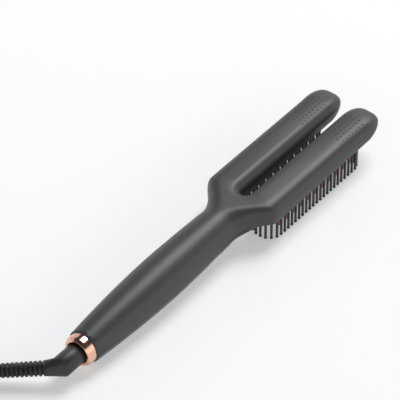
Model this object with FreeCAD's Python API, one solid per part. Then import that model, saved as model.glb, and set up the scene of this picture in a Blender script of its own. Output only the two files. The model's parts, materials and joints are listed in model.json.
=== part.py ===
"""Hair straightening brush with a forked head, modelled in millimetres.

The brush lies on its pins: +X runs from the tail to the arm tips, +Y is its left side
and +Z points from the pin tips to the back of the casing.
A station is a distance along the brush from the rear face of the end ring.
"""
import FreeCAD, Part
import math
import os

from FreeCAD import Matrix, Placement, Rotation, Vector

os.makedirs("parts", exist_ok=True)

# Lengths along the brush
ring_length = 7.0
handle_length = 136.0
neck_length = 26.0
head_length = 119.5
tip_length = 16.0

# Handle section
tail_half_width = 12.15
belly_half_width = 16.06
neck_half_width = 14.3
handle_height_share = 0.95
belly_place_share = 0.574
tail_taper_share = 1.8
neck_taper_share = 1.5
handle_roundness_share = 2.0

# Forked head
arm_spacing = 31.8
arm_half_width = 12.9
arm_height = 12.9
rim_height = 18.2
head_roundness_share = 2.9
slot_lip_radius = 8.0
slot_lip_rise = 0.1
tip_end_width_share = 0.34
tip_end_height_share = 0.44
tip_roundness_share = 2.2

# Lower casing
keel_length = 31.0
keel_end_share = 0.03
lower_end_gap = 0.3
tongue_overlap = 3.0
tongue_thickness = 1.6

# Casing walls and clearances
wall = 1.5
end_wall = 2.0
seam_step = 0.2
seam_gap_width = 0.5
seam_gap_depth = 0.6
fit_gap = 0.15
running_gap = 0.05
button_gap = 0.3
overrun = 30.0

# End ring and its spigot
ring_radius = 11.0
ring_hole_radius = 8.0
ring_chamfer_length = 2.2
ring_chamfer_depth = 1.3
ring_seam = 0.2
ring_lip = 1.8
spigot_radius = 9.6
spigot_bore_radius = 7.8
tail_bore_reach = 1.0

# Cord swivel
journal_radius = 5.0
journal_length = 12.8
bushing_radius = 8.2
bushing_flange_radius = 9.0
bushing_gap = 0.3
bushing_length = 9.7
rib_offsets = (1.5, 6.5)
rib_thickness = 2.0
clip_gap = 0.35
clip_thickness = 1.1
clip_radius = 7.0
clip_groove_depth = 0.6
lead_bore_radius = 3.2
sleeve_radius = 7.2
elbow_setback = 15.6
elbow_turn_deg = 51.75
cord_droop_deg = 4.8
elbow_taper_length = 9.0
elbow_tip_radius = 5.2

# Ribbed strain relief boot
boot_rib_count = 17
boot_rib_pitch = 2.95
boot_rib_width = 1.5
boot_root_radius = 5.1
boot_tip_radius = 4.5
boot_groove_depth = 1.2
boot_rail_width = 1.3
boot_rail_inset = 0.45

# Bristle frames, pins and heated teeth
frame_thickness = 2.2
frame_setback = 3.7
window_rear_inset = 6.5
window_tip_inset = 26.6
window_half_width = 8.8
pin_rear_setback = 2.0
pin_tip_inset = 24.0
pin_row_offset = 10.3
pin_rear_corner = 9.6
pin_tip_corner = 5.0
pin_count = 57
pin_sides = 6
pin_root_radius = 0.72
pin_neck_radius = 0.6
pin_ball_radius = 1.08
pin_tip_radius = 0.55
pin_neck_height = 2.1
tooth_rear_inset = 1.8
tooth_tip_inset = 5.0
tooth_pitch = 7.87
tooth_row_offset = 6.9
tooth_length = 10.6
tooth_root_thickness = 3.0
tooth_tip_thickness = 1.8
tooth_root_width = 3.2
tooth_tip_width = 2.2
tooth_edge_share = 0.25

# Heaters
plate_overlap = 1.4
plate_thickness = 2.0
heater_rear_inset = 9.0
heater_tip_inset = 5.4
heater_half_width = 4.5
heater_thickness = 3.0
clamp_inset = 6.0
clamp_sheet = 0.6
clamp_gap = 0.1
sensor_inset = 6.0
sensor_length = 6.0
sensor_radius = 1.3
fuse_length = 10.0
fuse_radius = 1.6
sensor_offset = 7.6

# Screws
housing_screw_insets = (33.0, 7.0)
housing_boss_radius = 3.3
housing_head_radius = 2.6
housing_head_height = 2.0
housing_shank_radius = 1.5
housing_seat_drop = 5.0
housing_grip = 6.0
frame_screw_insets = (2.0, 10.0)
frame_boss_radius = 2.6
frame_head_radius = 2.0
frame_head_height = 1.2
frame_shank_radius = 1.2
frame_grip = 4.5
screw_gap = 0.1

# Control panel on the bristle side of the handle
panel_setback = 46.0
panel_half_length = 23.0
panel_half_width = 6.3
panel_depth = 1.4
panel_plate = 1.6
panel_border = 1.5
button_places = {"power_button": -16.5, "minus_button": -7.5, "plus_button": 1.5}
button_radius = 3.25
button_proud = 0.8
button_flange_radius = 4.2
button_flange = 0.6
button_stem_radius = 1.4
button_travel = 0.6
button_dish_radius = 9.0
button_dish_depth = 0.35
switch_half_width = 3.0
switch_height = 3.2
switch_well = 1.5
stem_entry = 0.3
flange_rest = 0.05
display_place = 14.0
display_half_length = 6.0
display_half_width = 3.6
display_flange = 0.9
display_flange_thickness = 0.6
window_recess = 0.2
board_half_length = 24.0
board_half_width = 9.4
board_thickness = 1.6
post_radius = 1.8
post_inset_long = 3.0
post_inset_wide = 2.1

# Inner wires
wire_radius = 0.8
wire_start_gap = 0.6
mains_half_gap = 1.5
mains_spread = 6.0
mains_bend_reach = 8.2
mains_bend_share = 0.51
mains_sag_share = 0.5
mains_board_overlap = 5.0
heater_wire_offsets = (-3.7, 3.7)
heater_wire_starts = (4.6, 7.4)
heater_wire_board_overlap = 6.0
heater_wire_leave = 4.0
heater_wire_neck_setback = 5.0
heater_wire_neck_reach = 9.0
heater_wire_arm_setback = 2.0
heater_wire_neck_heights = (4.0, 4.6, 5.7)
heater_wire_across_shares = (0.1, 0.42, 1)

# Mains cord, coiled behind the tail
cord_radius = 3.0
coil_mid_radius = 33.0
coil_layers = 4
coil_turn_pitch = 6.6
coil_layer_pitch = 6.55
coil_bulge = 0.9
coil_whole_turns = 8
coil_step_out = 7.6
coil_step_share = 0.5
coil_drop_share = 0.2
tie_place_share = 0.6
tie_width = 8.0
tie_sheet = 0.6
tie_slack = 0.7
tie_corner = 2.0

# The lead's route from the boot: distance outwards and height lost
lead_route = ((0.0, 0.0), (8.0, 0.6718), (16.0, 2.3), (24.0, 3.84), (32.0, 4.33), (36.0, 4.33))

# Two-pin plug
plug_half_thickness = 6.85
plug_floor_gap = 0.1
plug_relief_length = 12.0
plug_relief_root = 5.2
plug_relief_tip = 4.1
plug_body_length = 35.0
plug_back_half_width = 6.4
plug_half_width = 12.8
plug_face_half_width = 10.8
plug_taper_share = 0.34
plug_shoulder_share = 0.74
plug_edge = 2.0
plug_pin_radius = 2.0
plug_pin_length = 19.0
plug_pin_spacing = 19.0
plug_pin_tip = 0.8

# Places worked out from the sizes above
neck_start = ring_length + handle_length
shoulder = neck_start + neck_length
overall_length = shoulder + head_length
tip_start = overall_length - tip_length
belly_station = ring_length + belly_place_share * handle_length
slot_half_width = arm_spacing / 2 - arm_half_width
head_half_width = arm_spacing / 2 + arm_half_width
arm_centre = arm_spacing / 2
crest_height = rim_height + arm_height
tail_floor = ring_length + end_wall
keel_start = neck_start - keel_length
tongue_start = neck_start - tongue_overlap
frame_start = shoulder - frame_setback
lower_end = frame_start - lower_end_gap
bushing_start = tail_floor + bushing_gap
bushing_end = bushing_start + bushing_length
rib_places = [tail_floor + offset for offset in rib_offsets]
clip_place = bushing_end + clip_gap
journal_end = tail_floor + journal_length
window_start = shoulder + window_rear_inset
window_end = overall_length - window_tip_inset
pin_loop_start = shoulder - pin_rear_setback
pin_loop_end = overall_length - pin_tip_inset
tooth_first = window_start + tooth_rear_inset
tooth_count = 1 + int((window_end - tooth_tip_inset - tooth_first) / tooth_pitch)
heater_start = window_start + heater_rear_inset
heater_end = window_end - heater_tip_inset
sensor_place = heater_start + sensor_inset
housing_screw_places = (ring_length + housing_screw_insets[0], neck_start - housing_screw_insets[1])
frame_screw_places = (shoulder + frame_screw_insets[0], overall_length - frame_screw_insets[1])
panel_station = neck_start - panel_setback
mains_first_bend = journal_end + mains_bend_reach
heater_wire_neck_places = (neck_start - heater_wire_neck_setback, neck_start + heater_wire_neck_reach,
                           shoulder - heater_wire_arm_setback)
section_points = 20
handle_sections = 20
neck_sections = 7
lower_sections = 16
keel_sections = 7
path_points = 400
sides = {"left": 1, "right": -1}


def at(station):
    """X of a station; the frame's origin is at the middle of the brush."""
    return station - overall_length / 2


def smooth(share):
    """Ease from 0 to 1 with level ends."""
    held = min(max(share, 0), 1)
    return held * held * (3 - 2 * held)


def neck_share(station):
    return smooth((station - neck_start) / neck_length)


def mix(low, high, share):
    return low + (high - low) * share


def half_width(station):
    """Half width of the casing along the handle and the flaring neck."""
    if station < belly_station:
        reach = (belly_station - station) / (belly_station - ring_length)
        return belly_half_width - (belly_half_width - tail_half_width) * reach ** tail_taper_share
    reach = min((station - belly_station) / (neck_start - belly_station), 1)
    handle = belly_half_width - (belly_half_width - neck_half_width) * reach ** neck_taper_share
    return mix(handle, head_half_width, neck_share(station))


def spaced(start, end, count):
    return [mix(start, end, i / count) for i in range(count + 1)]


def evenly_spaced(path, count):
    """Points at equal lengths along a path of short straight steps."""
    lengths = [0]
    for a, b in zip(path, path[1:]):
        lengths.append(lengths[-1] + (b - a).Length)
    points = []
    step = 0
    for target in spaced(0, lengths[-1], count):
        while lengths[step + 1] < target and step < len(path) - 2:
            step += 1
        share = (target - lengths[step]) / (lengths[step + 1] - lengths[step])
        points.append(path[step] + (path[step + 1] - path[step]) * share)
    return points


def resting_axis():
    """Height of the handle's axis at the tail that sets its belly on the table."""
    heights = []
    for station in spaced(ring_length, neck_start, section_points):
        share = station / shoulder
        depth = handle_height_share * half_width(station)
        heights.append((depth - rim_height * share) / (1 - share))
    return max(heights)


tail_axis = resting_axis()


def axis_height(station):
    """The handle's axis rises to meet the head's rim, and the casing parts along it."""
    return mix(tail_axis, rim_height, min(station / shoulder, 1))


def lower_depth(station):
    """Depth of the lower casing below its parting line."""
    fade = 1 - (1 - keel_end_share) * smooth((station - keel_start) / (lower_end - keel_start))
    return handle_height_share * half_width(station) * fade


swivel_height = axis_height(ring_length)


# Shape helpers

def block(x_low, x_high, y_low, y_high, z_low, z_high):
    corner = Vector(x_low, y_low, z_low)
    return Part.makeBox(x_high - x_low, y_high - y_low, z_high - z_low, corner)


def rod(radius, x_low, x_high, y=0.0, z=None):
    height = swivel_height if z is None else z
    return Part.makeCylinder(radius, x_high - x_low, Vector(x_low, y, height), Vector(1, 0, 0))


def post(radius, x, y, z_low, z_high):
    return Part.makeCylinder(radius, z_high - z_low, Vector(x, y, z_low))


def closed_wire(points):
    return Part.makePolygon(list(points) + [points[0]])


def facet_solid(rings):
    """Solid with flat sides through rings of points that match one to one."""
    faces = [Part.Face(closed_wire(rings[0])), Part.Face(closed_wire(rings[-1]))]
    for low, high in zip(rings, rings[1:]):
        for i in range(len(low)):
            j = (i + 1) % len(low)
            faces.append(Part.Face(closed_wire([low[i], low[j], high[j], high[i]])))
    solid = Part.Solid(Part.Shell(faces))
    if solid.Volume < 0:
        solid.reverse()
    return solid


def route_wire(points):
    """Straight runs joined by arcs that are as large as the runs allow."""
    reach_share = 0.45
    edges = []
    radii = []
    start = points[0]
    for before, corner, after in zip(points, points[1:], points[2:]):
        back = before - corner
        ahead = after - corner
        reach = reach_share * min(back.Length, ahead.Length)
        half_turn = (math.pi - back.getAngle(ahead)) / 2
        radius = reach / math.tan(half_turn)
        back.normalize()
        ahead.normalize()
        middle = back + ahead
        middle.normalize()
        depth = radius / math.cos(half_turn) - radius
        first = corner + back * reach
        last = corner + ahead * reach
        edges.append(Part.LineSegment(start, first).toShape())
        edges.append(Part.Arc(first, corner + middle * depth, last).toShape())
        radii.append(radius)
        start = last
    edges.append(Part.LineSegment(start, points[-1]).toShape())
    return Part.Wire(edges), radii


def pipe(wire, radius, start, direction):
    ring = Part.Wire(Part.Circle(start, direction, radius).toShape())
    return wire.makePipeShell([ring], True, False)


def wire_tube(points, radius):
    wire, radii = route_wire(points)
    return pipe(wire, radius, points[0], points[1] - points[0])


def one_solid(shape):
    """The single solid of a boolean result."""
    cleaned = shape.removeSplitter()
    return cleaned.Solids[0]


# Casing masses

def upper_section(station, inset):
    """Half section above the parting line: a level crest with a round shoulder each side."""
    share = neck_share(station)
    outer = half_width(station) - inset
    level = mix(0, arm_centre, share)
    height = mix(handle_height_share * half_width(min(station, neck_start)), arm_height, share) - inset
    power = 2 / mix(handle_roundness_share, head_roundness_share, share)
    base = axis_height(station)
    path = []
    for i in range(path_points + 1):
        angle = math.pi * i / path_points
        across = math.cos(angle)
        reach = math.copysign(level + (outer - level) * abs(across) ** power, across)
        path.append(Vector(at(station), reach, base + height * abs(math.sin(angle)) ** power))
    return closed_section(path, base)


def lower_section(station, inset):
    """Half section below the parting line."""
    outer = half_width(station) - inset
    depth = lower_depth(station) - max(inset - seam_step, 0)
    base = axis_height(station)
    path = []
    for i in range(path_points + 1):
        angle = math.pi * i / path_points
        path.append(Vector(at(station), outer * math.cos(angle), base - depth * math.sin(angle)))
    return closed_section(path, base)


def closed_section(path, base):
    """Smooth curve through points evenly spaced along a path, closed by its chord."""
    points = evenly_spaced(path, section_points)
    points[0].z = base
    points[-1].z = base
    curve = Part.BSplineCurve()
    curve.interpolate(Points=points, Parameters=spaced(0, 1, section_points))
    chord = Part.LineSegment(points[-1], points[0])
    return Part.Wire([curve.toShape(), chord.toShape()])


def slot_cutter(inset):
    """Slot between the arms, with a bell mouth that rolls its top edge over."""
    half = slot_half_width + inset
    radius = slot_lip_radius - inset
    lip_y = slot_half_width + slot_lip_radius
    lip_z = crest_height - slot_lip_radius + slot_lip_rise
    low = rim_height - overrun
    high = crest_height + overrun
    diagonal = radius * math.sqrt(0.5)

    def outline(sign, x):
        corners = [(0, low), (half, low), (half, lip_z), (lip_y, lip_z + radius), (lip_y, high), (0, high)]
        spots = [Vector(x, sign * y, z) for y, z in corners]
        bend = Vector(x, sign * (lip_y - diagonal), lip_z + diagonal)
        edges = [Part.LineSegment(a, b).toShape() for a, b in zip(spots, spots[1:] + spots[:1])]
        edges[2] = Part.Arc(spots[2], bend, spots[3]).toShape()
        return Part.Face(Part.Wire(edges))

    centre = at(shoulder) + slot_half_width
    run = Vector(head_length + overrun, 0, 0)
    straight = outline(1, centre).extrude(run).fuse(outline(-1, centre).extrude(run))
    end = outline(1, centre).revolve(Vector(centre, 0, 0), Vector(0, 0, 1), 360)
    return straight.fuse(end).removeSplitter()


def tip_scale(share, end_share):
    return end_share + (1 - end_share) * (1 - share ** tip_roundness_share) ** (1 / tip_roundness_share)


def arm_tip(section, side, inset):
    """Rounded arm end: the arm's section drawn in towards the tip."""
    tip_shares = (0, 0.3, 0.55, 0.75, 0.89, 0.97, 1)
    wires = []
    for share in tip_shares:
        shape = Matrix()
        shape.move(Vector(0, -side * arm_centre, -rim_height))
        shape.scale(Vector(1, tip_scale(share, tip_end_width_share), tip_scale(share, tip_end_height_share)))
        shape.move(Vector(share * (tip_length - inset), side * arm_centre, rim_height))
        wires.append(Part.Wire(section.transformGeometry(shape).Edges))
    return Part.makeLoft(wires, True, False)


def upper_mass(inset, start):
    """Solid of the upper casing, drawn in by an inset, from a start station to the arm tips."""
    stations = spaced(start, neck_start, handle_sections) + spaced(neck_start, shoulder, neck_sections)[1:]
    handle = Part.makeLoft([upper_section(s, inset) for s in stations], True, False)
    profile = Part.Face(upper_section(shoulder, inset))
    head = profile.extrude(Vector(tip_start - shoulder, 0, 0))
    forked = handle.fuse(head).removeSplitter().cut(slot_cutter(inset))
    mass = forked
    for section in forked.slice(Vector(1, 0, 0), at(tip_start) - wall):
        side = math.copysign(1, section.CenterOfMass.y)
        section.translate(Vector(wall, 0, 0))
        mass = mass.fuse(arm_tip(section, side, inset))
    return one_solid(mass)


def lower_mass(inset, start, end):
    stations = spaced(start, keel_start, lower_sections) + spaced(keel_start, end, keel_sections)[1:]
    return Part.makeLoft([lower_section(s, inset) for s in stations], True, False)


# Control panel frame: X along the handle, Z into it, origin on the panel's floor

def lower_surface(station):
    return axis_height(station) - lower_depth(station)


panel_rise = (lower_surface(panel_station + panel_half_length)
              - lower_surface(panel_station - panel_half_length))
panel_tilt_deg = math.degrees(math.atan2(panel_rise, 2 * panel_half_length))
panel_height = lower_surface(panel_station) + panel_depth
panel_place = Placement(Vector(at(panel_station), 0, panel_height),
                        Rotation(Vector(0, 1, 0), -panel_tilt_deg))
flange_low = panel_plate + flange_rest
flange_high = flange_low + button_flange
switch_face = flange_high + button_travel + flange_rest
board_low = switch_face + switch_height
board_high = board_low + board_thickness


def on_panel(shape):
    placed = shape.copy()
    placed.Placement = panel_place.multiply(placed.Placement)
    return placed


def panel_point(along, across, up):
    return panel_place.multVec(Vector(along, across, up))


def stadium(half_long, half_wide, z_low, z_high):
    straight = half_long - half_wide
    middle = block(-straight, straight, -half_wide, half_wide, z_low, z_high)
    ends = [post(half_wide, x, 0, z_low, z_high) for x in (-straight, straight)]
    return middle.fuse(ends).removeSplitter()


def board_posts():
    """Posts that carry the control board, from the casing's floor."""
    long = board_half_length - post_inset_long
    wide = board_half_width - post_inset_wide
    spots = [(x, y) for x in (-long, long) for y in (-wide, wide)]
    return [on_panel(post(post_radius, x, y, -overrun, board_low)) for x, y in spots]


# Casings

def swivel_ribs():
    """Ribs round the swivel bushing, cut out of the cavity so that they stay in the casing."""
    ribs = []
    for place in rib_places:
        slab = block(at(place), at(place + rib_thickness), -overrun, overrun, -overrun, overrun + overrun)
        ribs.append(slab.cut(rod(bushing_radius + running_gap, at(0), at(neck_start))))
    return ribs


def half_spigot(up):
    tube = rod(spigot_radius, at(ring_lip + ring_seam), at(ring_length))
    low = swivel_height if up else swivel_height - overrun
    return tube.common(block(at(0), at(ring_length), -overrun, overrun, low, low + overrun))


def tail_bore():
    return rod(spigot_bore_radius, at(0), at(tail_floor + tail_bore_reach))


def screw_seat(station):
    return axis_height(station) - housing_seat_drop


def make_top_shell(outer, cavity):
    keep = swivel_ribs()
    for station in housing_screw_places:
        keep.append(post(housing_boss_radius, at(station), 0, 0, crest_height))
    for side in sides.values():
        for station in frame_screw_places:
            low = rim_height + frame_thickness
            keep.append(post(frame_boss_radius, at(station), side * arm_centre, low, crest_height))
    shell = outer.cut(cavity.cut(keep)).fuse(half_spigot(True)).cut(tail_bore())
    pilots = []
    for station in housing_screw_places:
        low = axis_height(station) - overrun
        pilots.append(post(housing_shank_radius + running_gap, at(station), 0, low,
                           axis_height(station) + housing_grip + screw_gap))
    for side in sides.values():
        for station in frame_screw_places:
            top = rim_height + frame_thickness + frame_grip + screw_gap
            pilots.append(post(frame_shank_radius + running_gap, at(station), side * arm_centre, 0, top))
    return one_solid(shell.cut(pilots))


def make_bottom_shell(tongue_mass):
    outer = lower_mass(seam_step, ring_length, lower_end)
    cavity = lower_mass(seam_step + wall, tail_floor, cavity_end())
    pad = on_panel(stadium(panel_half_length + panel_border, panel_half_width + panel_border,
                           -overrun, panel_plate))
    keep = swivel_ribs() + board_posts() + [pad]
    for station in housing_screw_places:
        keep.append(post(housing_boss_radius, at(station), 0, -overrun, axis_height(station) + overrun))
    tongue_box = block(at(tongue_start), at(lower_end), -overrun, overrun, 0, rim_height + tongue_thickness)
    tongue = tongue_mass.common(tongue_box)
    for station in housing_screw_places:
        tongue = tongue.cut(post(housing_boss_radius + fit_gap, at(station), 0, 0, crest_height))
    shell = outer.cut(cavity.cut(keep)).fuse(tongue).fuse(half_spigot(False)).cut(tail_bore())
    cuts = [seam_gap(), on_panel(stadium(panel_half_length, panel_half_width, -overrun, 0))]
    for place in button_places.values():
        cuts.append(on_panel(post(button_radius + button_gap, place, 0, -overrun, panel_plate + overrun)))
    cuts.append(on_panel(block(display_place - display_half_length - fit_gap,
                               display_place + display_half_length + fit_gap,
                               -display_half_width - fit_gap, display_half_width + fit_gap,
                               -overrun, panel_plate)))
    for station in housing_screw_places:
        x = at(station)
        cuts.append(post(housing_shank_radius + screw_gap, x, 0, -overrun, crest_height))
        cuts.append(post(housing_head_radius + screw_gap, x, 0, -overrun, screw_seat(station)))
    return one_solid(shell.cut(cuts))


def cavity_end():
    """Station where the lower casing gets too shallow to be hollow."""
    station = keel_start
    step = neck_length / section_points
    while lower_depth(station) > 2 * wall:
        station += step
    return station


def seam_gap():
    """Shadow gap along the parting line, cut into the lower casing."""
    corners = [(0, 0), (cavity_end(), 0), (cavity_end(), seam_gap_width), (0, seam_gap_width)]
    points = [Vector(at(station), -head_half_width, axis_height(station) - drop) for station, drop in corners]
    slab = Part.Face(closed_wire(points)).extrude(Vector(0, 2 * head_half_width, 0))
    return slab.cut(lower_mass(seam_step + seam_gap_depth, ring_length, lower_end))


# Tail: ring, bushing, clip and elbow

def turned(profile, height):
    """Solid of revolution about the swivel axis from (x, radius) points."""
    points = [Vector(x, 0, height + radius) for x, radius in profile]
    face = Part.Face(closed_wire(points))
    return face.revolve(Vector(0, 0, height), Vector(1, 0, 0), 360)


def make_end_ring():
    rear = at(0)
    front = at(ring_length - ring_seam)
    step = at(ring_lip)
    profile = [(rear, ring_hole_radius), (rear, ring_radius - ring_chamfer_depth),
               (rear + ring_chamfer_length, ring_radius),
               (front, ring_radius), (front, spigot_radius + fit_gap), (step, spigot_radius + fit_gap),
               (step, ring_hole_radius)]
    return turned(profile, swivel_height)


def make_swivel_bushing():
    bore = journal_radius + running_gap
    low = at(bushing_start)
    high = at(bushing_end)
    flange_low_x = at(rib_places[0] + rib_thickness + fit_gap)
    flange_high_x = at(rib_places[1] - fit_gap)
    profile = [(low, bore), (low, bushing_radius), (flange_low_x, bushing_radius),
               (flange_low_x, bushing_flange_radius), (flange_high_x, bushing_flange_radius),
               (flange_high_x, bushing_radius), (high, bushing_radius), (high, bore)]
    return turned(profile, swivel_height)


def make_swivel_clip():
    groove = journal_radius - clip_groove_depth + running_gap
    low = at(clip_place)
    high = low + clip_thickness
    return turned([(low, groove), (low, clip_radius), (high, clip_radius), (high, groove)], swivel_height)


elbow_turn = math.radians(elbow_turn_deg)
cord_droop = math.radians(cord_droop_deg)
elbow_corner = Vector(at(-elbow_setback), 0, swivel_height)
lead_plan = Vector(-math.cos(elbow_turn), math.sin(elbow_turn), 0)
boot_axis = lead_plan * math.cos(cord_droop) + Vector(0, 0, -math.sin(cord_droop))
boot_start = elbow_corner + boot_axis * elbow_taper_length
boot_length = boot_rib_count * boot_rib_pitch + boot_rib_width
boot_end = boot_start + boot_axis * boot_length


def make_swivel_elbow():
    """Sleeve and turned-off, tapered outlet, with the journal that turns in the bushing."""
    sleeve = rod(sleeve_radius, at(-elbow_setback), at(tail_floor))
    mouth = Part.Wire(Part.Circle(elbow_corner, Vector(-1, 0, 0), sleeve_radius).toShape())
    outlet_end = Part.Wire(Part.Circle(boot_start, boot_axis, elbow_tip_radius).toShape())
    outlet = Part.makeLoft([mouth, outlet_end], True, True)
    groove = journal_radius - clip_groove_depth
    clip_low = at(clip_place - running_gap)
    clip_high = at(clip_place + clip_thickness + running_gap)
    axis = at(0)
    profile = [(axis, 0), (axis, journal_radius), (clip_low, journal_radius), (clip_low, groove),
               (clip_high, groove), (clip_high, journal_radius), (at(journal_end), journal_radius),
               (at(journal_end), 0)]
    journal = turned(profile, swivel_height)
    bore = rod(lead_bore_radius, at(-elbow_setback / 2), at(journal_end) + overrun)
    return one_solid(sleeve.fuse([outlet, journal]).cut(bore))


def make_boot():
    """Ribbed boot on the X axis, with rails between the ribs, then set on the elbow's outlet."""
    profile = [(0, 0)]
    for i in range(boot_rib_count + 1):
        x = i * boot_rib_pitch
        radius = mix(boot_root_radius, boot_tip_radius, i / boot_rib_count)
        core = radius - boot_groove_depth
        profile += [(x, radius), (x + boot_rib_width, radius)]
        if i < boot_rib_count:
            profile += [(x + boot_rib_width, core), (x + boot_rib_pitch, core)]
    profile.append((boot_length, 0))
    ribs = turned(profile, 0)
    rail_reach = boot_tip_radius - boot_rail_inset
    half = boot_rail_width / 2
    rail = block(boot_rib_width / 2, boot_length - boot_rib_width / 2, -half, half, -rail_reach, rail_reach)
    rails = []
    for angle in (45, 135):
        turned_rail = rail.copy()
        turned_rail.rotate(Vector(0, 0, 0), Vector(1, 0, 0), angle)
        rails.append(turned_rail)
    boot = one_solid(ribs.fuse(rails))
    boot.Placement = Placement(boot_start, Rotation(Vector(1, 0, 0), boot_axis))
    return boot


# Arms: frames, pins, teeth and heaters

def make_frame(inner_mass, side):
    inner_edge = slot_half_width + wall + fit_gap
    y_low, y_high = sorted((side * inner_edge, side * (head_half_width + overrun)))
    slab = block(at(frame_start), at(overall_length), y_low, y_high, rim_height, rim_height + frame_thickness)
    window = block(at(window_start), at(window_end), side * arm_centre - window_half_width,
                   side * arm_centre + window_half_width, 0, crest_height)
    cuts = [window]
    for station in frame_screw_places:
        x = at(station)
        y = side * arm_centre
        cuts.append(post(frame_shank_radius + screw_gap, x, y, 0, crest_height))
        cuts.append(post(frame_head_radius + screw_gap, x, y, 0, rim_height + frame_head_height))
    return one_solid(inner_mass.common(slab).cut(cuts))


def loop_spots(count):
    """Evenly spaced spots round a rectangle with round corners."""
    path = []
    for quarter in range(4):
        x_sign = 1 if quarter in (0, 3) else -1
        y_sign = 1 if quarter in (0, 1) else -1
        radius = pin_tip_corner if x_sign > 0 else pin_rear_corner
        end = pin_loop_end if x_sign > 0 else pin_loop_start
        centre = Vector(at(end) - x_sign * radius, y_sign * (pin_row_offset - radius), 0)
        for turn in spaced(quarter, quarter + 1, section_points):
            angle = turn * math.pi / 2
            path.append(centre + Vector(radius * math.cos(angle), radius * math.sin(angle), 0))
    return evenly_spaced(path + path[:1], count)[:-1]


def polygon_ring(radius, height, count):
    angles = [2 * math.pi * i / count for i in range(count)]
    return [Vector(radius * math.cos(a), radius * math.sin(a), height) for a in angles]


def make_pins(side):
    levels = [(rim_height, pin_root_radius), (pin_neck_height, pin_neck_radius),
              (pin_ball_radius, pin_ball_radius), (0, pin_tip_radius)]
    pin = facet_solid([polygon_ring(radius, height, pin_sides) for height, radius in levels])
    spots = loop_spots(pin_count)
    return [pin.translated(Vector(spot.x, side * (arm_centre + spot.y), 0)) for spot in spots]


def blade_ring(thickness, width, height):
    """Rectangle with its corners cut, for a heated tooth."""
    cut = tooth_edge_share * thickness
    x = thickness / 2
    y = width / 2
    corners = [(x, y - cut), (x - cut, y), (cut - x, y), (-x, y - cut),
               (-x, cut - y), (cut - x, -y), (x - cut, -y), (x, cut - y)]
    return [Vector(px, py, height) for px, py in corners]


plate_low = rim_height + frame_thickness
plate_high = plate_low + plate_thickness


def make_teeth(side):
    root = blade_ring(tooth_root_thickness, tooth_root_width, plate_low)
    tip = blade_ring(tooth_tip_thickness, tooth_tip_width, plate_low - tooth_length)
    tooth = facet_solid([root, tip])
    teeth = []
    for row in (-tooth_row_offset, tooth_row_offset):
        for i in range(tooth_count):
            x = at(tooth_first + i * tooth_pitch)
            teeth.append(tooth.translated(Vector(x, side * arm_centre + row, 0)))
    return teeth


def make_heater_plate(side):
    half = window_half_width + plate_overlap
    y = side * arm_centre
    return block(at(window_start - plate_overlap), at(window_end + plate_overlap), y - half, y + half,
                 plate_low, plate_high)


def make_heater(side):
    y = side * arm_centre
    return block(at(heater_start), at(heater_end), y - heater_half_width, y + heater_half_width,
                 plate_high, plate_high + heater_thickness)


def make_heater_clamp(side):
    """Spring steel channel that holds the heater down on its plate."""
    inner = heater_half_width + clamp_gap
    outer = inner + clamp_sheet
    low = at(heater_start + clamp_inset)
    high = at(heater_end - clamp_inset)
    y = side * arm_centre
    top = plate_high + heater_thickness
    cover = block(low, high, y - outer, y + outer, plate_high, top + clamp_sheet)
    return cover.cut(block(low - overrun, high + overrun, y - inner, y + inner, 0, top))


def make_sensor():
    y = arm_centre + sensor_offset
    z = plate_high + sensor_radius
    return rod(sensor_radius, at(sensor_place), at(sensor_place + sensor_length), y, z)


def make_fuse():
    y = -arm_centre - sensor_offset
    z = plate_high + fuse_radius
    return rod(fuse_radius, at(sensor_place), at(sensor_place + fuse_length), y, z)


# Controls

def make_button(place):
    """Round cap with a dished face, a flange inside the casing and a stem to its switch."""
    cap = post(button_radius, place, 0, -button_proud, flange_high)
    flange = post(button_flange_radius, place, 0, flange_low, flange_high)
    stem = post(button_stem_radius, place, 0, flange_high, switch_face + stem_entry)
    dish_height = -button_proud - button_dish_radius + button_dish_depth
    dish = Part.makeSphere(button_dish_radius, Vector(place, 0, dish_height))
    return on_panel(one_solid(cap.fuse([flange, stem]).cut(dish)))


def make_switches():
    switches = []
    half = switch_half_width
    for place in button_places.values():
        body = block(place - half, place + half, -half, half, switch_face, board_low)
        well = post(button_stem_radius + button_gap, place, 0, 0, switch_face + switch_well)
        switches.append(on_panel(body.cut(well)))
    return switches


def make_display_window():
    """Clear lens with a flange that seats on the panel's inner face."""
    long = display_half_length
    wide = display_half_width
    lens = block(display_place - long, display_place + long, -wide, wide, window_recess, panel_plate)
    long += display_flange
    wide += display_flange
    flange = block(display_place - long, display_place + long, -wide, wide,
                   panel_plate, panel_plate + display_flange_thickness)
    return on_panel(one_solid(lens.fuse(flange)))


def make_display_module():
    long = display_half_length
    wide = display_half_width
    return on_panel(block(display_place - long, display_place + long, -wide, wide,
                          panel_plate + display_flange_thickness, board_low))


def make_board():
    return on_panel(block(-board_half_length, board_half_length, -board_half_width, board_half_width,
                          board_low, board_high))


# Wires and screws

def make_mains_leads():
    leads = []
    for sign in sides.values():
        board_x = -board_half_length
        height = board_high + wire_radius
        rest = panel_point(board_x, sign * mains_spread, height)
        last = panel_point(board_x + mains_board_overlap, sign * mains_spread, height)
        first_bend = at(mains_first_bend)
        second_bend = mix(first_bend, at(panel_station - board_half_length), mains_bend_share)
        points = [Vector(at(journal_end + wire_start_gap), sign * mains_half_gap, swivel_height),
                  Vector(first_bend, sign * (mains_spread - wire_radius), swivel_height),
                  Vector(second_bend, sign * mains_spread, mix(swivel_height, rest.z, mains_sag_share)),
                  rest, last]
        leads.append(wire_tube(points, wire_radius))
    return leads


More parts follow.
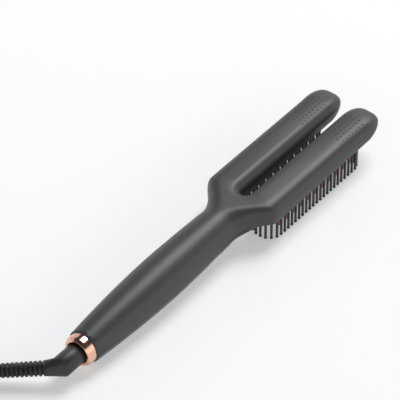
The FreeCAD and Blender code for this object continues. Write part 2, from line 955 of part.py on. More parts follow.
def make_heater_leads():
    leads = []
    for sign in sides.values():
        for start, offset in zip(heater_wire_starts, heater_wire_offsets):
            end_y = arm_centre + offset
            height = board_high + wire_radius
            points = [panel_point(board_half_length - heater_wire_board_overlap, sign * start, height),
                      panel_point(board_half_length + heater_wire_leave, sign * start, height)]
            for place, rise, share in zip(heater_wire_neck_places, heater_wire_neck_heights,
                                          heater_wire_across_shares):
                points.append(Vector(at(place), sign * mix(start, end_y, share), rim_height + rise))
            end_height = plate_high + heater_thickness / 2
            points.append(Vector(at(heater_start), sign * end_y, end_height))
            leads.append(wire_tube(points, wire_radius))
    return leads


def make_housing_screws():
    screws = []
    for station in housing_screw_places:
        seat = screw_seat(station)
        x = at(station)
        head = post(housing_head_radius, x, 0, seat - housing_head_height, seat)
        shank = post(housing_shank_radius, x, 0, seat, axis_height(station) + housing_grip)
        screws.append(one_solid(head.fuse(shank)))
    return screws


def make_frame_screws():
    screws = []
    for side in sides.values():
        for station in frame_screw_places:
            x = at(station)
            y = side * arm_centre
            seat = rim_height + frame_head_height
            head = post(frame_head_radius, x, y, rim_height, seat)
            shank = post(frame_shank_radius, x, y, seat, rim_height + frame_thickness + frame_grip)
            screws.append(one_solid(head.fuse(shank)))
    return screws


# Mains cord

lead_points = [boot_end + lead_plan * out + Vector(0, 0, -drop) for out, drop in lead_route]
cord_straight = 2 * cord_radius
coil_low = lead_points[-1].z
coil_start = lead_points[-1]
coil_across = Vector(-lead_plan.y, lead_plan.x, 0)
plug_height = plug_half_thickness + plug_floor_gap
exit_turns = (90 + elbow_turn_deg) / 360
half_turn = 0.5
coil_turns = coil_whole_turns + exit_turns
layer_turns = (coil_turns - coil_layers * half_turn) / coil_layers
coil_build = layer_turns * coil_turn_pitch
coil_outer = coil_mid_radius + coil_build / 2
coil_inner = coil_mid_radius - coil_build / 2
coil_centre = coil_start + coil_across * coil_outer


def coil_state(turn):
    """Radius and height after a number of turns: layers wind in and out, with a climb between."""
    level = coil_low
    radius = coil_outer
    target = coil_inner
    for layer in range(coil_layers):
        if turn <= layer_turns:
            return mix(radius, target, turn / layer_turns), level
        turn -= layer_turns
        radius, target = target, radius
        share = min(turn / half_turn, 1)
        if layer == coil_layers - 1:
            out = radius + coil_step_out * smooth(share / coil_step_share)
            return out, mix(level, plug_height, smooth((share - coil_drop_share) / (1 - coil_drop_share)))
        if turn <= half_turn:
            past = math.copysign(coil_bulge, radius - target) * math.sin(math.pi * share)
            return radius + past, level + coil_layer_pitch * smooth(share)
        turn -= half_turn
        level += coil_layer_pitch
    return radius, level


def coil_point(turn):
    radius, height = coil_state(turn)
    angle = 2 * math.pi * turn
    out = lead_plan * math.sin(angle) - coil_across * math.cos(angle)
    return Vector(coil_centre.x + radius * out.x, coil_centre.y + radius * out.y, height)


def arc_edge(start, tangent, end):
    """Arc that leaves start along a tangent and reaches end."""
    straight_tolerance = 1e-6
    chord = end - start
    along = Vector(chord).normalize()
    lean = tangent - along * tangent.dot(along)
    if lean.Length < straight_tolerance:
        return Part.LineSegment(start, end).toShape()
    rise = chord.Length / 2 * math.tan(tangent.getAngle(along) / 2)
    return Part.Arc(start, (start + end) / 2 + lean.normalize() * rise, end).toShape()


def biarc(start, start_tangent, end, end_tangent):
    """Two arcs that meet smoothly between two points and their tangents."""
    span = end - start
    tangents = start_tangent + end_tangent
    turn = 2 * (1 - start_tangent.dot(end_tangent))
    reach = span.dot(tangents)
    length = (math.sqrt(reach * reach + turn * span.dot(span)) - reach) / turn
    middle = (start + end + (start_tangent - end_tangent) * length) / 2
    joint_tangent = (middle - start - start_tangent * length).normalize()
    return [arc_edge(start, start_tangent, middle), arc_edge(middle, joint_tangent, end)]


def coil_wire():
    count = round(coil_turns * 4)
    turns = spaced(0, coil_turns, count)
    step = 0.01
    points = [coil_point(turn) for turn in turns]
    tangents = []
    for turn in turns:
        ahead = coil_point(min(turn + step, coil_turns)) - coil_point(max(turn - step, 0))
        tangents.append(ahead.normalize())
    tangents[0] = Vector(lead_plan)
    tangents[-1] = Vector(0, -1, 0)
    edges = []
    for i in range(count):
        edges += biarc(points[i], tangents[i], points[i + 1], tangents[i + 1])
    plug_entry = points[-1] + tangents[-1] * cord_straight
    edges.append(Part.LineSegment(points[-1], plug_entry).toShape())
    return Part.Wire(edges), plug_entry


def least_gap(wire):
    """Least gap between stretches of a wound tube, measured on points along it."""
    points = wire.discretize(Number=1600)
    step = wire.Length / (len(points) - 1)
    apart = int(4 * cord_radius / step)
    nearest = min((a - b).Length for i, a in enumerate(points) for b in points[i + apart::2])
    return nearest - 2 * cord_radius


def make_tie():
    """Flat strap round the coil's bundle of turns."""
    low_r = coil_inner - cord_radius - tie_slack
    high_r = coil_outer + cord_radius + tie_slack
    low_z = coil_low - cord_radius - running_gap
    high_z = coil_low + (coil_layers - 1) * coil_layer_pitch + cord_radius + tie_slack
    half = tie_width / 2
    inner = block(low_r, high_r, -half, half, low_z, high_z)
    outer = block(low_r - tie_sheet, high_r + tie_sheet, -half, half, low_z - tie_sheet, high_z + tie_sheet)

    def rounded(shape, radius):
        edges = [e for e in shape.Edges if abs(e.tangentAt(e.FirstParameter).y) > 0.5]
        return shape.makeFillet(radius, edges)

    strap = rounded(outer, tie_corner).cut(rounded(inner, tie_corner - tie_sheet))
    angle = 2 * math.pi * tie_place_share
    out = lead_plan * math.sin(angle) - coil_across * math.cos(angle)
    strap.Placement = Placement(Vector(coil_centre.x, coil_centre.y, 0), Rotation(Vector(1, 0, 0), out))
    return strap


def on_cord_end(shape, entry):
    """Turn a piece made along +Y to point along -Y from the cord's end."""
    return shape.rotated(Vector(0, 0, 0), Vector(0, 0, 1), 180).translated(entry)


def make_plug_body(entry):
    """Flat two-pin plug with a tapered cord relief."""
    front = plug_relief_length + plug_body_length
    taper = plug_relief_length + plug_taper_share * plug_body_length
    shoulder_y = plug_relief_length + plug_shoulder_share * plug_body_length
    side = [(plug_back_half_width, plug_relief_length), (plug_half_width, taper),
            (plug_half_width, shoulder_y), (plug_face_half_width, front)]
    plan = side + [(-x, y) for x, y in reversed(side)]
    outline = closed_wire([Vector(x, y, -plug_half_thickness) for x, y in plan])
    body = Part.Face(outline).extrude(Vector(0, 0, 2 * plug_half_thickness))
    body = body.makeFillet(plug_edge, body.Edges)
    relief = Part.makeCone(plug_relief_tip, plug_relief_root, plug_relief_length + plug_edge,
                           Vector(0, 0, 0), Vector(0, 1, 0))
    return on_cord_end(one_solid(body.fuse(relief)), entry)


def make_plug_pins(entry):
    face = plug_relief_length + plug_body_length
    pins = []
    for x in (-plug_pin_spacing / 2, plug_pin_spacing / 2):
        straight = plug_pin_length - plug_pin_tip
        shaft = Part.makeCylinder(plug_pin_radius, straight, Vector(x, face, 0), Vector(0, 1, 0))
        tip = Part.makeCone(plug_pin_radius, plug_pin_radius - plug_pin_tip, plug_pin_tip,
                            Vector(x, face + straight, 0), Vector(0, 1, 0))
        pins.append(on_cord_end(one_solid(shaft.fuse(tip)), entry))
    return pins


# Build every piece and write it out

def export(name, shape):
    if isinstance(shape, list):
        shape = Part.makeCompound(shape)
    shape.exportStep("parts/" + name + ".step")
    box = shape.BoundBox
    print(name, shape.isValid(), len(shape.Solids), round(shape.Volume, 2),
          [round(v, 2) for v in (box.XMin, box.YMin, box.ZMin, box.XMax, box.YMax, box.ZMax)])


inner_mass = upper_mass(wall + fit_gap, tail_floor)
export("top_shell", make_top_shell(upper_mass(0, ring_length), upper_mass(wall, tail_floor)))
export("bottom_shell", make_bottom_shell(inner_mass))
export("end_ring", make_end_ring())
export("swivel_bushing", make_swivel_bushing())
export("swivel_clip", make_swivel_clip())
export("swivel_elbow", make_swivel_elbow())
export("strain_relief_boot", make_boot())
for name, side in sides.items():
    export("bristle_frame_" + name, make_frame(inner_mass, side))
    export("bristle_pins_" + name, make_pins(side))
    export("heating_teeth_" + name, make_teeth(side))
    export("heater_plate_" + name, make_heater_plate(side))
    export("ptc_heater_" + name, make_heater(side))
    export("heater_clamp_" + name, make_heater_clamp(side))
export("temperature_sensor", make_sensor())
export("thermal_fuse", make_fuse())
for name, place in button_places.items():
    export(name, make_button(place))
export("tact_switches", make_switches())
export("display_window", make_display_window())
export("display_module", make_display_module())
export("control_board", make_board())
export("mains_leads", make_mains_leads())
export("heater_leads", make_heater_leads())
export("housing_screws", make_housing_screws())
export("frame_screws", make_frame_screws())

lead_path, lead_radii = route_wire(lead_points)
coil_path, plug_entry = coil_wire()
export("cord_lead", pipe(lead_path, cord_radius, lead_points[0], lead_points[1] - lead_points[0]))
export("cord_coil", pipe(coil_path, cord_radius, lead_points[-1], lead_plan))
export("cord_tie", make_tie())
export("plug_body", make_plug_body(plug_entry))
export("plug_pins", make_plug_pins(plug_entry))
print("lead bend radii", [round(r, 1) for r in lead_radii])
print("cord length", round(lead_path.Length + coil_path.Length, 1))
print("coil gap", round(least_gap(coil_path), 2))
print("tail axis", round(tail_axis, 3), "swivel", round(swivel_height, 3), "tilt", round(panel_tilt_deg, 3))
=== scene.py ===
"""Looks of the hair straightening brush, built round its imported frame.

Lengths are in metres and the axes are the frame's: +X to the arm tips, +Y to the left, +Z up.
"""
import json
import math

import bmesh
import bpy
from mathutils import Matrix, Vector
from mathutils.bvhtree import BVHTree
from mathutils.interpolate import poly_3d_calc

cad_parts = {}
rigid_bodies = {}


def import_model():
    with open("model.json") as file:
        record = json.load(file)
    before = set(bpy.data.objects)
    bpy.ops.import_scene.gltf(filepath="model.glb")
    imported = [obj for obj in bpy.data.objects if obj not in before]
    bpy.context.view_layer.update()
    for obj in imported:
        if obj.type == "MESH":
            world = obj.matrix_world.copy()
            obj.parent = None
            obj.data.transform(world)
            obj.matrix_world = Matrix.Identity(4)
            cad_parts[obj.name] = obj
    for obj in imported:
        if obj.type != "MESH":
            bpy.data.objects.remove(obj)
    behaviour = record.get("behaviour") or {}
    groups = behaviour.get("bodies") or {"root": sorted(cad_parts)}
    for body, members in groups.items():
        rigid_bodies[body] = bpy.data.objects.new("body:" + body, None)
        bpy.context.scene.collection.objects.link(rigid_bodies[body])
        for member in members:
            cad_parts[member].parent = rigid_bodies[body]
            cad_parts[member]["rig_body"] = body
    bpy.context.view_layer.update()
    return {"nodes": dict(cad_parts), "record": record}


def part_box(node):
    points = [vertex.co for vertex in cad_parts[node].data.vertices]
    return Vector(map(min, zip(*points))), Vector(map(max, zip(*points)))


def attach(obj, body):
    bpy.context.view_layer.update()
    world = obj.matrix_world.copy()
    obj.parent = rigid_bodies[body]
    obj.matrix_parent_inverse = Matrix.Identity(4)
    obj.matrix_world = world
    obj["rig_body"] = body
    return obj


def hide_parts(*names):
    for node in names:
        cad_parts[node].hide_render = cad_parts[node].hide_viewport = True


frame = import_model()

# Camera, fitted to the photograph
TARGET = Vector((0.00575, 0.0, 0.012))
TARGET_PX = (224.87, 226.67)
PHOTO_SIDE_PX = 400
FOCAL_PX = 2788.2
AZIMUTH = math.radians(-51.62)
ELEVATION = math.radians(43.16)
DISTANCE = 1.8403
SENSOR_MM = 36.0

# Places read from the frame
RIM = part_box("bristle_frame_left")[0].z
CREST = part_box("top_shell")[1].z
TIP_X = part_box("top_shell")[1].x
ARM_Y = sum(c.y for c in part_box("heater_plate_left")) / 2
SWIVEL_Z = sum(c.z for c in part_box("end_ring")) / 2
TAIL_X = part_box("end_ring")[0].x
RING_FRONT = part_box("end_ring")[1].x
WINDOW_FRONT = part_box("display_window")[1].x

# Studio: a softbox beyond the tips, pale walls up to a sine of elevation, a dim ceiling above
KEY_PLACE = (2.745, 0.43, 3.9)
KEY_SIZE = (2.3, 3.0)
KEY_POWER = 166.0
WALL_TOP = 0.42
CEILING_EDGE = 0.62
WALL_LEVEL = 1.0
WALL_LEAN = 0.3
CEILING_LEVEL = 0.06
FLOOR_COLOUR = (0.7, 0.704, 0.71)
FLOOR_GLOW = 0.375
FLOOR_GLOW_TINT = (0.975, 0.987, 1.0)
FLOOR_ROUGHNESS = 0.9
FLOOR_HALF = 3.0
FLOOR_DROP = 0.0001
WORLD_TINT = (0.97, 0.985, 1.0, 1)

# Mesh clean-up
MERGE = 1e-8
SHARP = math.radians(32)
CUT_DEPTH = 1e-5

# Casing: the neck widens later, its underside stays deep for longer, and the arm tips sweep up
NECK_START = -0.00125
SHOULDER = 0.02475
SLIM_END = 0.02675
SLIM_SHARE = 0.11
KEEL_START = -0.03225
KEEL_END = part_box("bottom_shell")[1].x
KEEL_END_SHARE = 0.03
KEEL_HOLD = 6
KEEL_EASE = 0.015
TIP_START = 0.1217
TIP_RISE = 0.0077
TIP_EASE = 1.2
TIP_HOLD = 1.5

# Dimpled grip near each arm tip
DIMPLE_RADIUS = 0.00066
DIMPLE_BALL = 0.0009
DIMPLE_PITCH = 0.00355
DIMPLE_ROW_PITCH = 0.00365
DIMPLE_ROWS = 5
DIMPLES_PER_ROW = 8
DIMPLE_FRONT = 0.0138
DIMPLE_SHIFT = 0.0008
DIMPLE_SIDES = 12
DIMPLE_RINGS = 8

# Ball-tipped pins and heated teeth
PIN_ROOT = 0.00094
PIN_NECK = 0.00084
PIN_BALL = 0.0011
PIN_SIDES = 12
PIN_BALL_RINGS = 8
TOOTH_TIP_SHARE = 0.85
TOOTH_SHIFT = 0.00196
TOOTH_EXTRA = 0.0043
TOOTH_SWELL_SHARE = 1.5
TOOTH_SIDES = 20
TOOTH_END_RINGS = 10

# End ring
RING_HOLE = 0.008
RING_CHAMFER_LENGTH = 0.0022
RING_CHAMFER_DEPTH = 0.0013
RING_ROUNDING = 0.0003
RING_ROUNDING_STEPS = 5
RING_SEGMENTS = 128

# Signs on the buttons
MARK_REACH = 0.0012
MARK_HALF_WIDTH = 0.00022
MARK_RAISE = 0.00003
MARK_STEPS = 24
POWER_GAP = math.radians(40)

# Cross recess of the screws
RECESS_REACH = 0.0013
RECESS_WIDTH = 0.0006
RECESS_DEPTH = 0.0007

# Cord: repeats the lead's route and the coil's winding
CORD_RADIUS = 0.003
ELBOW_SETBACK = 0.0156
ELBOW_TURN = math.radians(51.75)
CORD_DROOP = math.radians(4.8)
OUTLET_LENGTH = 0.009
BOOT_RIBS = 17
BOOT_PITCH = 0.00295
BOOT_RIB = 0.0015
LEAD_ROUTE = ((0.0, 0.0), (0.008, 0.0006718), (0.016, 0.0023), (0.024, 0.00384), (0.032, 0.00433),
              (0.036, 0.00433))
COIL_RADIUS = 0.033
COIL_LAYERS = 4
COIL_TURN_PITCH = 0.0066
COIL_LAYER_PITCH = 0.00655
COIL_BULGE = 0.0009
COIL_STEP_OUT = 0.0076
COIL_WHOLE_TURNS = 8
COIL_POINTS_PER_TURN = 24
COIL_CLIMB_TURNS = 0.5
COIL_STEP_OUT_SHARE = 0.5
PLUG_FALL_SHARE = 0.2
PLUG_Z = 0.00695
CORD_BEVEL_STEPS = 4
CORD_CURVE_STEPS = 3
CORD_CURVE_ORDER = 3

# Moulded finishes
MOULD_SLOW_SCALE = 38.0
MOULD_SLOW_DETAIL = 3.0
MOULD_SLOW_SHARE = 0.7
MOULD_GRAIN_SCALE = 2600.0
MOULD_GRAIN_DETAIL = 1.0
MOULD_GRAIN_HEIGHT = 2e-5
MOULD_GRAIN_STRENGTH = 0.6
MOULD_GLOSS_SPREAD = 0.06
LENS_GRAIN_HEIGHT = 2e-6

# Plated finishes
PLATING_SLOW_SCALE = 90.0
PLATING_LINE_SCALE = 900.0
PLATING_LINE_STRETCH = (6, 1, 1)
PLATING_LINE_HEIGHT = 4e-6
PLATING_LINE_STRENGTH = 0.15
PLATING_SMOOTHER = 0.04
PLATING_ROUGHER = 0.05

# Rolled finishes
ROLLING_LINE_SCALE = 700.0
ROLLING_LINE_DETAIL = 3.0
ROLLING_LINE_STRETCH = (0.06, 1, 1)
ROLLING_LINE_HEIGHT = 8e-6
ROLLING_LINE_STRENGTH = 0.3
ROLLING_SMOOTHER = 0.08
ROLLING_ROUGHER = 0.1

# Speckled finishes
SPECKLE_SCALE = 1500.0
SPECKLE_GLOSS_SCALE = 400.0
SPECKLE_HEIGHT = 1e-5
SPECKLE_STRENGTH = 0.3
SPECKLE_SMOOTHER = 0.05
SPECKLE_ROUGHER = 0.08


# Node trees

class Value:
    """A node's output that takes part in sums and products."""

    def __init__(self, tree, socket):
        self.tree = tree
        self.socket = socket

    def __add__(self, other):
        return self.tree.math("ADD", self, other)

    def __sub__(self, other):
        return self.tree.math("SUBTRACT", self, other)

    def __rsub__(self, other):
        return self.tree.math("SUBTRACT", other, self)

    def __mul__(self, other):
        return self.tree.math("MULTIPLY", self, other)

    def __truediv__(self, other):
        return self.tree.math("DIVIDE", self, other)

    __radd__ = __add__
    __rmul__ = __mul__


class Tree:
    """A node tree filled from Python, with one way to add any node."""

    def __init__(self, tree):
        self.tree = tree

    def feed(self, socket, value):
        if isinstance(value, Value):
            self.tree.links.new(value.socket, socket)
        else:
            socket.default_value = value

    def node(self, kind, settings=None, sockets=None, output=0):
        """Add a node: its settings first, then the values or links of its sockets."""
        made = self.tree.nodes.new(kind)
        for name, value in (settings or {}).items():
            setattr(made, name, value)
        for name, value in (sockets or {}).items():
            self.feed(made.inputs[name], value)
        return Value(self, made.outputs[output]) if made.outputs else made

    def math(self, operation, *values):
        return self.node("ShaderNodeMath", {"operation": operation}, dict(enumerate(values)))


class Finish(Tree):
    """One procedural material on object coordinates."""

    def __init__(self, name, colour, roughness, **fixed):
        self.material = bpy.data.materials.new(name)
        self.material.use_nodes = True
        super().__init__(self.material.node_tree)
        self.tree.nodes.clear()
        self.shader = self.tree.nodes.new("ShaderNodeBsdfPrincipled")
        output = self.tree.nodes.new("ShaderNodeOutputMaterial")
        self.tree.links.new(self.shader.outputs[0], output.inputs["Surface"])
        self.place = self.node("ShaderNodeTexCoord", output="Object")
        self.set(**{"Base Color": (*colour, 1), "Roughness": roughness}, **fixed)

    def set(self, **sockets):
        for name, value in sockets.items():
            self.feed(self.shader.inputs[name.replace("_", " ")], value)

    def noise(self, scale, detail=2.0, stretch=(1, 1, 1)):
        place = self.node("ShaderNodeMapping", sockets={"Vector": self.place, "Scale": stretch})
        return self.node("ShaderNodeTexNoise", sockets={"Vector": place, "Scale": scale, "Detail": detail})

    def cells(self, scale):
        return self.node("ShaderNodeTexVoronoi", sockets={"Vector": self.place, "Scale": scale})

    def blend(self, share, low, high):
        """Colour between two colours."""
        sockets = {0: share, 6: (*low, 1), 7: (*high, 1)}
        return self.node("ShaderNodeMix", {"data_type": "RGBA"}, sockets, output=2)

    def range(self, value, low, high):
        return self.node("ShaderNodeMapRange", sockets={"Value": value, "To Min": low, "To Max": high})

    def bump(self, height, distance, strength):
        sockets = {"Height": height, "Distance": distance, "Strength": strength}
        self.set(Normal=self.node("ShaderNodeBump", sockets=sockets))


# Finishes

def moulded(name, low, high, roughness, grain=MOULD_GRAIN_HEIGHT):
    """Moulded plastic or rubber: a fine sprayed grain, with slow changes of tone and gloss."""
    finish = Finish(name, low, roughness)
    slow = finish.noise(MOULD_SLOW_SCALE, MOULD_SLOW_DETAIL)
    fine = finish.noise(MOULD_GRAIN_SCALE, MOULD_GRAIN_DETAIL)
    tone = slow * MOULD_SLOW_SHARE + fine * (1 - MOULD_SLOW_SHARE)
    gloss = (slow + fine) / 2
    finish.set(**{"Base Color": finish.blend(tone, low, high)})
    finish.set(Roughness=finish.range(gloss, roughness - MOULD_GLOSS_SPREAD, roughness + MOULD_GLOSS_SPREAD))
    finish.bump(fine, grain, MOULD_GRAIN_STRENGTH)
    return finish.material


def plated(name, low, high, roughness):
    """Polished plating with faint polishing lines and a slow change of tone."""
    finish = Finish(name, low, roughness, Metallic=1.0)
    slow = finish.noise(PLATING_SLOW_SCALE)
    lines = finish.noise(PLATING_LINE_SCALE, stretch=PLATING_LINE_STRETCH)
    finish.set(**{"Base Color": finish.blend(slow, low, high)})
    finish.set(Roughness=finish.range(lines, roughness - PLATING_SMOOTHER, roughness + PLATING_ROUGHER))
    finish.bump(lines, PLATING_LINE_HEIGHT, PLATING_LINE_STRENGTH)
    return finish.material


def rolled(name, low, high, roughness):
    """Rolled or machined metal with lines along X."""
    finish = Finish(name, low, roughness, Metallic=1.0)
    lines = finish.noise(ROLLING_LINE_SCALE, ROLLING_LINE_DETAIL, ROLLING_LINE_STRETCH)
    finish.set(**{"Base Color": finish.blend(lines, low, high)})
    finish.set(Roughness=finish.range(lines, roughness - ROLLING_SMOOTHER, roughness + ROLLING_ROUGHER))
    finish.bump(lines, ROLLING_LINE_HEIGHT, ROLLING_LINE_STRENGTH)
    return finish.material


def speckled(name, low, high, roughness):
    """Coated ceramic with a fine speckle."""
    finish = Finish(name, low, roughness)
    cells = finish.cells(SPECKLE_SCALE)
    gloss = finish.noise(SPECKLE_GLOSS_SCALE)
    finish.set(**{"Base Color": finish.blend(cells, low, high)})
    finish.set(Roughness=finish.range(gloss, roughness - SPECKLE_SMOOTHER, roughness + SPECKLE_ROUGHER))
    finish.bump(cells, SPECKLE_HEIGHT, SPECKLE_STRENGTH)
    return finish.material


casing_finish = moulded("casing_anthracite", (0.042, 0.042, 0.043), (0.052, 0.052, 0.053), 0.42)
ring_finish = plated("ring_rose_gold", (0.80, 0.46, 0.33), (0.88, 0.54, 0.40), 0.12)
pin_finish = moulded("pin_nylon", (0.008, 0.008, 0.009), (0.014, 0.014, 0.015), 0.34)
carrier_finish = moulded("carrier_black", (0.012, 0.012, 0.013), (0.02, 0.02, 0.021), 0.5)
tooth_finish = speckled("tooth_ceramic", (0.46, 0.11, 0.075), (0.58, 0.16, 0.11), 0.38)
rubber_finish = moulded("cord_rubber", (0.018, 0.018, 0.019), (0.03, 0.03, 0.032), 0.46)
button_finish = moulded("button_satin", (0.014, 0.014, 0.015), (0.022, 0.022, 0.023), 0.3)
mark_finish = moulded("mark_grey", (0.42, 0.42, 0.43), (0.5, 0.5, 0.51), 0.5)
lens_finish = moulded("lens_black", (0.004, 0.004, 0.005), (0.007, 0.007, 0.008), 0.1, LENS_GRAIN_HEIGHT)
nickel_finish = rolled("pin_nickel", (0.56, 0.54, 0.50), (0.68, 0.66, 0.62), 0.24)
steel_finish = rolled("zinc_steel", (0.42, 0.42, 0.43), (0.56, 0.56, 0.57), 0.34)
plate_finish = speckled("plate_ceramic", (0.10, 0.028, 0.022), (0.15, 0.05, 0.038), 0.42)

INNER_FINISHES = {
    "heater_plate_left": plate_finish,
    "heater_plate_right": plate_finish,
    "ptc_heater_left": rolled("heater_foil", (0.44, 0.42, 0.38), (0.58, 0.56, 0.52), 0.4),
    "heater_clamp_left": rolled("clamp_steel", (0.46, 0.46, 0.47), (0.6, 0.6, 0.61), 0.36),
    "temperature_sensor": moulded("sensor_bead", (0.5, 0.36, 0.16), (0.6, 0.44, 0.2), 0.2),
    "thermal_fuse": rolled("fuse_case", (0.52, 0.5, 0.46), (0.66, 0.64, 0.6), 0.3),
    "heater_leads": moulded("lead_silicone", (0.36, 0.03, 0.02), (0.46, 0.05, 0.04), 0.5),
    "mains_leads": moulded("lead_mains", (0.14, 0.06, 0.025), (0.2, 0.09, 0.04), 0.5),
    "control_board": moulded("board_mask", (0.015, 0.09, 0.035), (0.03, 0.14, 0.06), 0.35),
    "tact_switches": moulded("switch_body", (0.016, 0.016, 0.017), (0.026, 0.026, 0.027), 0.45),
    "display_module": moulded("display_body", (0.03, 0.03, 0.033), (0.05, 0.05, 0.053), 0.4),
    "swivel_bushing": moulded("bushing_acetal", (0.66, 0.65, 0.6), (0.74, 0.73, 0.69), 0.4),
}
INNER_FINISHES["ptc_heater_right"] = INNER_FINISHES["ptc_heater_left"]
INNER_FINISHES["heater_clamp_right"] = INNER_FINISHES["heater_clamp_left"]
INNER_FINISHES["swivel_clip"] = INNER_FINISHES["heater_clamp_left"]


# Pieces

def add_piece(name, mesh, finish, body, slot, *nodes):
    """Put a finished mesh in the scene, on its body and in place of CAD nodes."""
    piece = bpy.data.objects.new(name, mesh)
    bpy.context.scene.collection.objects.link(piece)
    mesh.materials.clear()
    mesh.materials.append(finish)
    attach(piece, body)
    if nodes:
        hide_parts(*nodes)
    return piece


def merged(node):
    """A CAD node's mesh with its loose triangles joined, shaded smooth up to its sharp edges."""
    shape = bmesh.new()
    shape.from_mesh(frame["nodes"][node].data)
    bmesh.ops.remove_doubles(shape, verts=shape.verts, dist=MERGE)
    mesh = bpy.data.meshes.new(node + "_smooth")
    shape.to_mesh(mesh)
    shape.free()
    mesh.shade_smooth()
    mesh.set_sharp_from_angle(angle=SHARP)
    return mesh


def smooth_copy(name, node, finish):
    source = frame["nodes"][node]
    slots = {part["node"]: part["material_slot"] for part in frame["record"]["subparts"]}
    return add_piece(name, merged(node), finish, source["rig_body"], slots[node], node)


def smooth_step(share):
    held = min(max(share, 0), 1)
    return held * held * (3 - 2 * held)


def mix(low, high, share):
    return low + (high - low) * share


def parting_height(x):
    """The casing parts along the handle's axis, which rises to the rim of the head."""
    return mix(SWIVEL_Z, RIM, min((x - RING_FRONT) / (SHOULDER - RING_FRONT), 1))


def slim_neck(mesh):
    """Draw the neck in, so that it widens later on its way to the shoulders."""
    for vert in mesh.vertices:
        along = (vert.co.x - NECK_START) / (SLIM_END - NECK_START)
        if 0 < along < 1:
            vert.co.y *= 1 - SLIM_SHARE * math.sin(math.pi * along) ** 2
    mesh.update()


def deepen_neck(mesh):
    """Hold the depth of the lower casing further along the neck."""
    for vert in mesh.vertices:
        x, y, z = vert.co
        base = parting_height(x)
        if x < WINDOW_FRONT or z > base:
            continue
        fall = smooth_step((x - KEEL_START) / (KEEL_END - KEEL_START))
        before = mix(1, KEEL_END_SHARE, fall)
        after = mix(1, KEEL_END_SHARE, fall ** KEEL_HOLD)
        ease = smooth_step((x - WINDOW_FRONT) / KEEL_EASE)
        vert.co.z = mix(base, z, mix(1, after / before, ease))
    mesh.update()


def lift_tips(mesh):
    """Sweep the underside of the arms up towards their tips."""
    for vert in mesh.vertices:
        along = (vert.co.x - TIP_START) / (TIP_X - TIP_START)
        if along > 0:
            below = max((CREST - vert.co.z) / (CREST - RIM), 0)
            vert.co.z += TIP_RISE * along ** TIP_EASE * below ** TIP_HOLD
    mesh.update()


def islands(node):
    """Middle of the foot of each separate solid of a CAD node."""
    shape = bmesh.new()
    shape.from_mesh(frame["nodes"][node].data)
    bmesh.ops.remove_doubles(shape, verts=shape.verts, dist=MERGE)
    left = set(shape.verts)
    feet = []
    while left:
        found = [left.pop()]
        for vert in found:
            near = {edge.other_vert(vert) for edge in vert.link_edges} & left
            left -= near
            found.extend(near)
        low = Vector(min(v.co[i] for v in found) for i in range(3))
        high = Vector(max(v.co[i] for v in found) for i in range(3))
        feet.append(((low.x + high.x) / 2, (low.y + high.y) / 2, low.z))
    shape.free()
    return feet


class Growth(Tree):
    """A geometry tree with named sizes that grows one shape on every point of a mesh."""

    def __init__(self, name, sizes):
        super().__init__(bpy.data.node_groups.new(name, "GeometryNodeTree"))
        face = self.tree.interface
        face.new_socket("Points", in_out="INPUT", socket_type="NodeSocketGeometry")
        self.sizes = sizes
        self.names = {}
        for label in sizes:
            made = face.new_socket(label, in_out="INPUT", socket_type="NodeSocketFloat")
            self.names[label] = made.identifier
        face.new_socket("Grown", in_out="OUTPUT", socket_type="NodeSocketGeometry")
        self.entry = self.tree.nodes.new("NodeGroupInput")

    def size(self, label):
        return Value(self, self.entry.outputs[label])

    def moved(self, geometry, x=0.0, y=0.0, z=0.0, **sockets):
        place = self.node("ShaderNodeCombineXYZ", sockets={"X": x, "Y": y, "Z": z})
        sockets = {"Geometry": geometry, "Translation": place, **sockets}
        return self.node("GeometryNodeTransform", sockets=sockets)

    def joined(self, *shapes):
        node = self.tree.nodes.new("GeometryNodeJoinGeometry")
        for shape in shapes:
            self.tree.links.new(shape.socket, node.inputs[0])
        return Value(self, node.outputs[0])

    def on_points(self, shape, finish):
        """Instances of the shape on the points, made real, smooth and of one finish."""
        points = Value(self, self.entry.outputs["Points"])
        sockets = {"Points": points, "Instance": shape}
        placed = self.node("GeometryNodeInstanceOnPoints", sockets=sockets)
        real = self.node("GeometryNodeRealizeInstances", sockets={"Geometry": placed})
        smooth = self.node("GeometryNodeSetShadeSmooth", sockets={"Geometry": real})
        painted = self.node("GeometryNodeSetMaterial", sockets={"Geometry": smooth, "Material": finish})
        end = self.tree.nodes.new("NodeGroupOutput")
        self.tree.links.new(painted.socket, end.inputs["Grown"])

    def grow(self, points):
        """Plain mesh of what the tree makes on these points."""
        base = bpy.data.meshes.new(self.tree.name + "_points")
        base.from_pydata(points, [], [])
        holder = bpy.data.objects.new(self.tree.name + "_holder", base)
        bpy.context.scene.collection.objects.link(holder)
        modifier = holder.modifiers.new("growth", "NODES")
        modifier.node_group = self.tree
        for label, value in self.sizes.items():
            modifier[self.names[label]] = value
        graph = bpy.context.evaluated_depsgraph_get()
        mesh = bpy.data.meshes.new_from_object(holder.evaluated_get(graph))
        bpy.data.objects.remove(holder)
        return mesh


def pin_growth():
    """Tapered pin with a ball at its lower end."""
    growth = Growth("ball_tipped_pins", {"Root": PIN_ROOT, "Neck": PIN_NECK, "Ball": PIN_BALL, "Length": RIM})
    ball = growth.size("Ball")
    sockets = {"Vertices": PIN_SIDES, "Side Segments": 1, "Radius Top": growth.size("Root"),
               "Radius Bottom": growth.size("Neck"), "Depth": growth.size("Length") - ball}
    shaft = growth.moved(growth.node("GeometryNodeMeshCone", {"fill_type": "NONE"}, sockets), z=ball)
    round_end = {"Segments": PIN_SIDES, "Rings": PIN_BALL_RINGS, "Radius": ball}
    tip = growth.node("GeometryNodeMeshUVSphere", sockets=round_end)
    growth.on_points(growth.joined(shaft, growth.moved(tip, z=ball)), pin_finish)
    return growth


